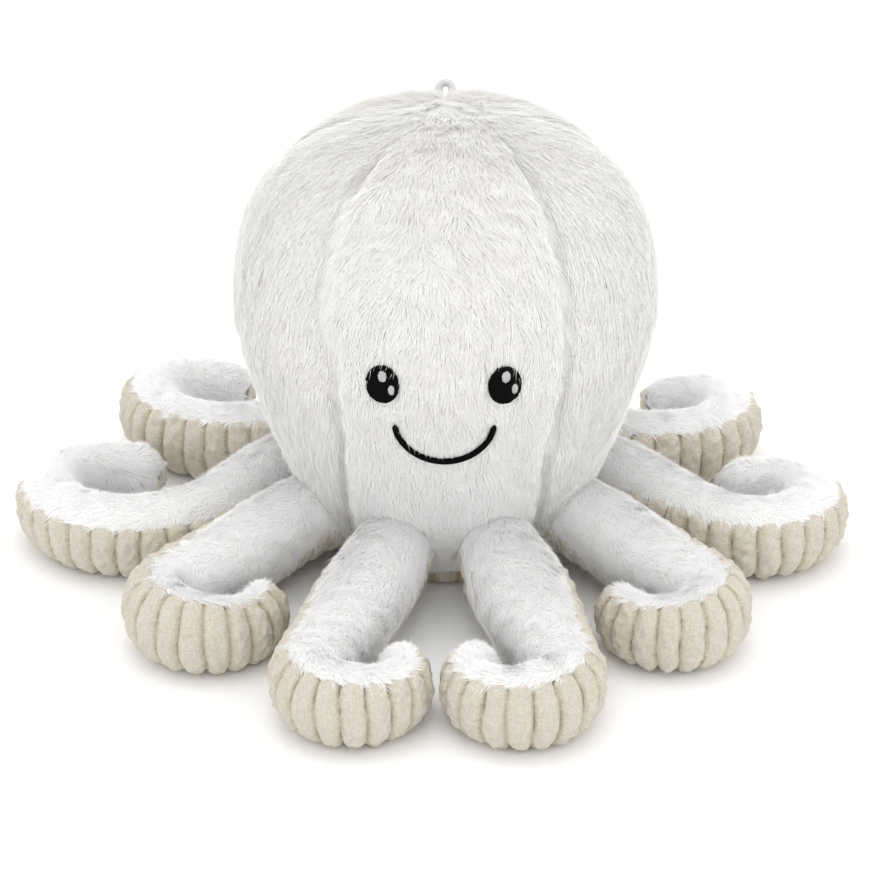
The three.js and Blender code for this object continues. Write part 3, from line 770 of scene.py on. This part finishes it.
def ribbed_piece(name, path, seed):
    reach = np.concatenate([
        np.linspace(ROOT_START, path["last"], 360),
        path["last"] + TIP_HALF_WIDTH * np.radians(np.linspace(4, 88, 24)),
    ])
    columns = 66
    share = np.linspace(0, 1, columns)
    reach, share = (x.ravel() for x in np.meshgrid(reach, share, indexing="ij"))
    outer, inner = seam_thetas(path, np.minimum(reach, path["length"]))
    theta = lerp(inner, outer + 360, share)
    points, normal, _, _, s = arm_point(path, reach, theta, 0)
    along = np.interp(np.minimum(reach, path["last"]), path["s"], outer_length(path))
    along = along + np.maximum(reach - path["last"], 0)
    along = along + 0.5 * waves(points, 30, seed)
    rib = np.abs((along / RIB_PITCH) % 1 * 2 - 1)
    girth = np.pi * (at(path, "half_width", s) + at(path, "half_height", s)) / 2
    edge = np.minimum(share, 1 - share) * girth
    ending = np.clip(1 - edge / RIB_END_LENGTH, 0, 1)
    rounded = np.sqrt(1 - ending**2)
    crest = np.sqrt(np.maximum(0, 1 - rib**RIB_FULLNESS - ending**2))
    outward = compass(at(path, "facing", s) + 90) * -path["turn"]
    inside = np.clip(0.5 + 0.5 * (normal * outward).sum(1), 0, 1)
    depth = RIB_DEPTH * lerp(0.45, 1, inside) * (1 + 0.10 * waves(points, 14, seed + 1))
    tip = smooth((reach - path["last"]) / TIP_HALF_WIDTH * 1.2)
    depth = depth * (1 - 0.8 * tip)
    sunk = depth * (1 - crest) * (1 - 0.35 * ending) + (1 - rounded) * 0.8
    sunk = sunk - 0.35 * waves(points, 5, seed + 2) * crest
    points = points - normal * sunk[:, None]
    points[:, 2] = np.maximum(points[:, 2], RIB_LOWEST)
    # Painted shade: the tone is darkest in each groove between the ribs, and pales towards the round tip
    # where the ribs fade out.
    ridge = np.sqrt(np.maximum(0, 1 - rib**RIB_FULLNESS))
    tone = 0.3 + 0.7 * np.clip(ridge * 1.4, 0, 1)
    tone = np.where(tip > 0.2, np.maximum(tone, 0.8 * tip), tone)
    rows = len(points) // columns
    weave_place = np.stack([along, share * girth], 1) * MM
    return mesh_object(name, points, [grid_faces(rows, columns, False)], ribbed,
                       uv=grid_uv(rows, columns), weave=weave_place, tone=tone)


# %% [markdown]
# ## Fur tops
# The arms' fur is shorter than the head's, 4 to 7 mm, and almost pure white. It lies along the arm, and
# at both seams it leans over the ends of the ribs. It is longer inside the curl and where the arm
# leaves the body, as in the photograph.

# %% Fur tops
def cloth_piece(name, path):
    reach = np.concatenate([
        np.linspace(ROOT_START, path["last"], 160),
        path["last"] + TIP_HALF_WIDTH * np.radians(np.linspace(6, 88, 14)),
    ])
    columns = 40
    reach, share = (x.ravel() for x in np.meshgrid(reach, np.linspace(0, 1, columns), indexing="ij"))
    outer, inner = seam_thetas(path, np.minimum(reach, path["length"]))
    points = arm_point(path, reach, lerp(outer - 4, inner + 4, share), ARM_PILE)[0]
    rows = len(points) // columns
    return mesh_object(name, points, [grid_faces(rows, columns, False)], shaded_backing, uv=grid_uv(rows, columns))


# %% Fur of one arm
ARM_STRAND_LENGTH, ARM_STRAND_WIDTH = 5.8, 0.27
ARM_LOCK, ARM_PULL, ARM_LOOSE_SHARE = 2.4, 0.15, 0.06
ARM_LIFTS, ARM_LOOSE_LIFT = (21, 4), 14
ARM_ROOT_SINK = 0.3


def arm_fur_piece(name, path, count, seed):
    draw = np.random.default_rng(seed)
    u, v = even_pairs(count, seed * 777)
    lengths = np.linspace(-2, path["last"] + TIP_HALF_WIDTH * np.pi / 2, 300)
    outer, inner = seam_thetas(path, np.minimum(lengths, path["length"]))
    girth = np.radians(inner - outer) * at(path, "half_width", np.minimum(lengths, path["length"]))
    tip_turn = np.clip((lengths - path["last"]) / TIP_HALF_WIDTH, 0, 1.5)
    girth *= np.where(lengths > path["last"], np.cos(tip_turn), 1)
    total = np.concatenate([[0], np.cumsum((girth[1:] + girth[:-1]) / 2)])
    reach = np.interp(v * total[-1], total, lengths)
    outer, inner = seam_thetas(path, np.minimum(reach, path["length"]))
    theta = lerp(outer - 1, inner + 1, u)
    roots, normal, forward, tangent, s = arm_point(path, reach, theta, ARM_PILE)
    half = at(path, "half_width", s)
    edge_outer = np.radians(theta - outer) * half
    edge_inner = np.radians(inner - theta) * half
    lean = -np.exp(-edge_outer / 6) + np.exp(-edge_inner / 9)
    lean = lean * (1 - 0.5 * smooth((edge_inner - edge_outer) / 10) * smooth(s / 60))
    flow_t = lean * 1.3 + 0.30 * waves(roots, 11, seed) + 0.22 * draw.normal(size=count)
    flow_s = 0.60 + 0.30 * waves(roots, 15, seed + 1) + 0.15 * draw.normal(size=count)
    combs = forward * flow_s[:, None] + tangent * flow_t[:, None]
    combs = unit(combs - normal * (combs * normal).sum(1, keepdims=True))
    length = ARM_STRAND_LENGTH * draw.uniform(0.65, 1.2, count) * (1 + 0.10 * waves(roots, 9, seed + 2))
    hollow = np.exp(-edge_inner / 12) * smooth((s - path["straight"] + 10) / 25)
    root_tuft = np.exp(-edge_inner / 14) * (1 - smooth((s - 25) / 45))
    edge_growth = 0.20 * np.exp(-edge_outer / 4) + 0.35 * np.exp(-edge_inner / 5)
    length = length * (1 + edge_growth + 0.7 * hollow + 0.7 * root_tuft)
    loose = draw.uniform(size=count) < ARM_LOOSE_SHARE
    lift_root = ARM_LIFTS[0] + 3 * draw.normal(size=count) - 6 * np.abs(lean) + 12 * hollow
    lift_root = lift_root + ARM_LOOSE_LIFT * loose
    lift_tip = ARM_LIFTS[1] + 3 * draw.normal(size=count) - 6 * np.abs(lean) + ARM_LOOSE_LIFT * loose
    across = (theta - 90) * np.radians(1) * 18
    pulls = locks(across + 1.0 * waves(roots, 7, seed + 3), s, forward, tangent, ARM_LOCK, ARM_PULL, seed)
    width = ARM_STRAND_WIDTH * draw.uniform(0.7, 1.3, count)
    tones = 0.98 + 0.015 * draw.normal(size=count) + 0.01 * waves(roots, 10, seed + 4)
    return strands(name, arm_fur, roots - ARM_ROOT_SINK * normal, normal, combs, length, width,
                   (np.clip(lift_root, 5, 85), np.clip(lift_tip, -20, 60)), pulls, tones)


# %% Pieces of the arms
arm_pieces = {}
for number, (name, path) in enumerate(paths.items()):
    seed = 100 + 10 * number
    arm_pieces[name] = (
        cloth_piece(f"{name}_arm_cloth", path),
        arm_fur_piece(f"{name}_arm_pile", path, STRANDS, seed),
        ribbed_piece(f"{name}_arm_ribs", path, seed + 5),
    )
print("arm pieces:", sum(len(p) for p in arm_pieces.values()))

# %% [markdown]
# ## Sole
# The sole closes the body below. It is a shallow dish of the ribbed cloth, flat where the toy sits.

# %% Sole
sole_outline = np.array([[0.5, 0], [20, 0], [40, 0], [SOLE_RADIUS - 1, 0.05], [SOLE_RADIUS + 2, 0.7],
                         [SOLE_RADIUS + 5, 2.2], [NECK_RADIUS - 1.0, 4.6], [NECK_RADIUS, 7],
                         [NECK_RADIUS + 0.2, 9.5], [NECK_RADIUS - 1.5, 11.5], [NECK_RADIUS - 5, 12.5]])
SOLE_RIB_COUNT, SOLE_RIB_DEPTH = 14, 1.6
sole_columns = 240
sole_angles = np.arange(sole_columns) * 360 / sole_columns
sole_ribs = np.abs(np.cos(np.radians(sole_angles * SOLE_RIB_COUNT)))
sole_points = []
for radius, height in sole_outline:
    dip = SOLE_RIB_DEPTH * (1 - np.sqrt(sole_ribs)) * smooth((radius - 40) / 10)
    sole_points.append(compass(sole_angles) * (radius - dip)[:, None] + np.array([0, 0, height]))
sole_points = np.concatenate(sole_points)
# Painted shade: the tone darkens the grooves between the sole's ribs.
sole = mesh_object(
    "sole_cloth", sole_points, [grid_faces(len(sole_outline), sole_columns, True)[:, ::-1]], ribbed,
    uv=grid_uv(len(sole_outline), sole_columns), weave=sole_points[:, :2] * MM,
    tone=np.tile(0.1 + 0.9 * np.sqrt(sole_ribs), len(sole_outline)),
)
print("sole points:", len(sole_points))

# %% [markdown]
# ## Eyes and smile
# They are satin stitch: threads laid side by side over a little padding, so each is slightly domed.
# Two grey-white glints are stitched over each eye.

# %% Stitching
def surface_point(angle, height, out):
    """A point over the face's outer surface, pushed out by a distance."""
    radius = np.interp(-height, -head_heights, head_radii) + HEAD_PILE + out
    return compass(angle) * radius[:, None] + np.array([0, 0, 1.0]) * height[:, None]


def stitched_oval(name, angle, height, width, tall, sink, rise, finish, ragged=0.0, seed=0):
    rings, columns = 14, 72
    share = np.linspace(0.02, 1, rings)
    share = np.concatenate([share, [1.02, 1.0]])
    turns = np.radians(np.arange(columns) * 360 / columns)
    ring, around = (x.ravel() for x in np.meshgrid(share, turns, indexing="ij"))
    draw = np.random.default_rng(seed)
    rough = 1 + ragged * draw.uniform(-1, 1, columns)
    edge = np.tile(rough, len(share)) * ring
    x = edge * width / 2 * np.cos(around)
    z = edge * tall / 2 * np.sin(around)
    out = rise * np.sqrt(np.maximum(0, 1 - np.minimum(ring, 1) ** 2.2))
    out = np.where(np.arange(len(ring)) >= columns * (len(share) - 1), -sink, out)
    radius = np.interp(-(height + z), -head_heights, head_radii) + HEAD_PILE
    points = surface_point(angle + np.degrees(x / radius), height + z, out)
    middle = surface_point(np.array([angle]), np.array([height]), np.array([rise]))
    faces = [grid_faces(len(share), columns, True)]
    centre = len(points)
    first = np.arange(columns)
    faces.append(np.stack([np.full(columns, centre), first, (first + 1) % columns], 1)[:, ::-1])
    lie = np.concatenate([np.stack([x, z + height], 1), [[0, height]]]) * MM
    disc = 0.5 + 0.49 * np.stack([ring * np.cos(around), ring * np.sin(around)], 1) / 1.02
    return mesh_object(name, np.concatenate([points, middle]), faces, finish,
                       uv=np.concatenate([disc, [[0.5, 0.5]]]), weave=lie)


# %% Eyes
EYE_RISE, EYE_SINK = 0.5, HEAD_PILE
GLINTS = [("upper", 0.02, 0.24, 0.29, 0.33), ("lower", 0.29, -0.1, 0.21, 0.29)]
face_pieces = []
for number, (side, angle, height, width, tall) in enumerate(EYES):
    face_pieces.append((stitched_oval(f"{side}_eye_stitching", angle, height, width, tall, EYE_SINK, EYE_RISE,
                                      black_thread, 0.02, number), f"{side}_eye"))
    for place, across, up, wide, high in GLINTS:
        turned = angle + math.degrees(across * width / HEAD_RADIUS)
        face_pieces.append((stitched_oval(
            f"{side}_eye_{place}_glint_stitching", turned, height + up * tall, wide * width, high * tall,
            -0.3, EYE_RISE + 0.5, grey_thread, 0.12, 20 + number), f"{side}_eye_{place}_glint"))


# %% Smile
SMILE_SINK, SMILE_HALF_DEPTH = 0.5, 1.3
SMILE_TAPER, SMILE_STITCH = 2.0, 0.9


def smile_piece():
    steps, sides = 150, 14
    angle, height = smile_line(steps)
    middle = surface_point(angle, height, np.full(steps, -SMILE_SINK))
    along = unit(np.gradient(middle, axis=0))
    outward = compass(angle)
    over = unit(np.cross(along, outward))
    run = np.concatenate([[0], np.cumsum(np.linalg.norm(np.diff(middle, axis=0), axis=1))])
    taper = np.sqrt(np.clip(np.minimum(run, run[-1] - run) / SMILE_TAPER, 0.02, 1))
    notch = 1 + 0.05 * np.sin(run * 2 * np.pi / SMILE_STITCH)
    points = []
    for k in range(sides):
        around = 2 * np.pi * k / sides
        points.append(middle + over * (np.cos(around) * SMILE_THICKNESS / 2 * taper * notch)[:, None]
                      + outward * (np.sin(around) * SMILE_HALF_DEPTH * taper * notch)[:, None])
    points = np.stack(points, 1).reshape(-1, 3)
    lie = np.stack([np.tile(np.linspace(0, 8, sides), steps), np.repeat(run, sides)], 1) * MM
    return mesh_object("smile_stitching", points, [grid_faces(steps, sides, True)], black_thread,
                       uv=grid_uv(steps, sides), weave=lie)


face_pieces.append((smile_piece(), "smile"))
print("stitched pieces:", len(face_pieces))

# %% [markdown]
# ## Hanging loop
# A small white cord, under 4 mm thick, is sewn into the seam behind the middle of the crown. It is bent
# into a loop about 10 mm wide and stands square to the cloth, so it leans back, and only its top shows
# over the crown's edge. A smooth curve through a few knots gives its shape.

# %% Hanging loop
LOOP_CORD, LOOP_WIDTH, LOOP_RISE = 3.8, 9.5, 8.8
LOOP_BACK, LOOP_SETTLE = 70, 1.2
LOOP_FOOT = 0.3 + LOOP_CORD / 2 - LOOP_SETTLE


def loop_line(steps):
    """The cord's middle line: places across the loop and above its seat."""
    spread = LOOP_WIDTH / 2 - LOOP_CORD / 2
    crown = LOOP_FOOT + LOOP_RISE - LOOP_CORD
    knots = np.array([
        [-spread, LOOP_FOOT - 2.5], [-spread, LOOP_FOOT], [-spread * 1.12, lerp(LOOP_FOOT, crown, 0.45)],
        [-spread * 0.72, lerp(LOOP_FOOT, crown, 0.87)], [0, crown],
    ])
    knots = np.concatenate([knots, knots[-2::-1] * [-1, 1]])
    line = []
    for value in np.linspace(0, len(knots) - 1, steps):
        i = min(int(value), len(knots) - 2)
        p = [knots[max(i - 1, 0)], knots[i], knots[i + 1], knots[min(i + 2, len(knots) - 1)]]
        f = value - i
        line.append(0.5 * (2 * p[1] + (p[2] - p[0]) * f + (2 * p[0] - 5 * p[1] + 4 * p[2] - p[3]) * f**2
                           + (3 * p[1] - p[0] - 3 * p[2] + p[3]) * f**3))
    return np.array(line)


# %% Loop on the crown
def loop_piece():
    steps, sides = 120, 16
    line = loop_line(steps)
    share = LOOP_BACK / HEAD_RADIUS
    rise = (1 - share**CROWN_POWER) ** (1 / CROWN_POWER)
    tilt = math.atan((HEAD_TOP - WIDEST_HEIGHT) / HEAD_RADIUS * (share / rise) ** (CROWN_POWER - 1))
    upwards = np.array([0, math.sin(tilt), math.cos(tilt)])
    seat = np.array([0, LOOP_BACK, lerp(WIDEST_HEIGHT, HEAD_TOP, rise)])
    middle = seat + line[:, :1] * [1, 0, 0] + line[:, 1:] * upwards
    along = unit(np.gradient(middle, axis=0))
    side = np.array([0, math.cos(tilt), -math.sin(tilt)])
    over = unit(np.cross(along, side))
    run = np.arange(steps) / steps
    points = []
    for k in range(sides):
        around = 2 * np.pi * k / sides
        wave = 1 + 0.06 * np.cos(2 * (around - run * 40))
        ring = over * np.cos(around) + side * np.sin(around)
        points.append(middle + ring * (LOOP_CORD / 2 * wave)[:, None])
    points = np.stack(points, 1).reshape(-1, 3)
    return mesh_object("loop_cord_piece", points, [grid_faces(steps, sides, True)], loop_cord,
                       uv=grid_uv(steps, sides))


loop = loop_piece()
print("loop points:", len(loop.data.vertices))

# %% [markdown]
# ## What moves with what
# The head, the sole and the face ride on the body, and the loop flops over on its own. On the toy
# each arm lifts about its top seam, but here its pieces are only set in place and their stand-ins hidden.

# %% Rides and stand-ins
for piece in (head_cloth, *(pile for pile, _ in head_piles), sole):
    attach(piece, "body")
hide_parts("head_stuffing")
for pile, solid in head_piles:
    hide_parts(solid)
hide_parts("sole_panel")
for piece, solid in face_pieces:
    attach(piece, "body")
    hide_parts(solid)
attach(loop, "loop")
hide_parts("hanging_loop")

# %% Arms' pieces and stand-ins
for name, _, root, *_ in ARMS:
    cloth, pile, ribs = arm_pieces[name]
    path = paths[name]
    for piece in (cloth, pile, ribs):
        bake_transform(piece)
    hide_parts(f"{name}_arm_stuffing")
    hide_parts(f"{name}_arm_fur")
    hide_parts(f"{name}_arm_ribbed_underside")
print("blended pieces:", 3 * len(ARMS))
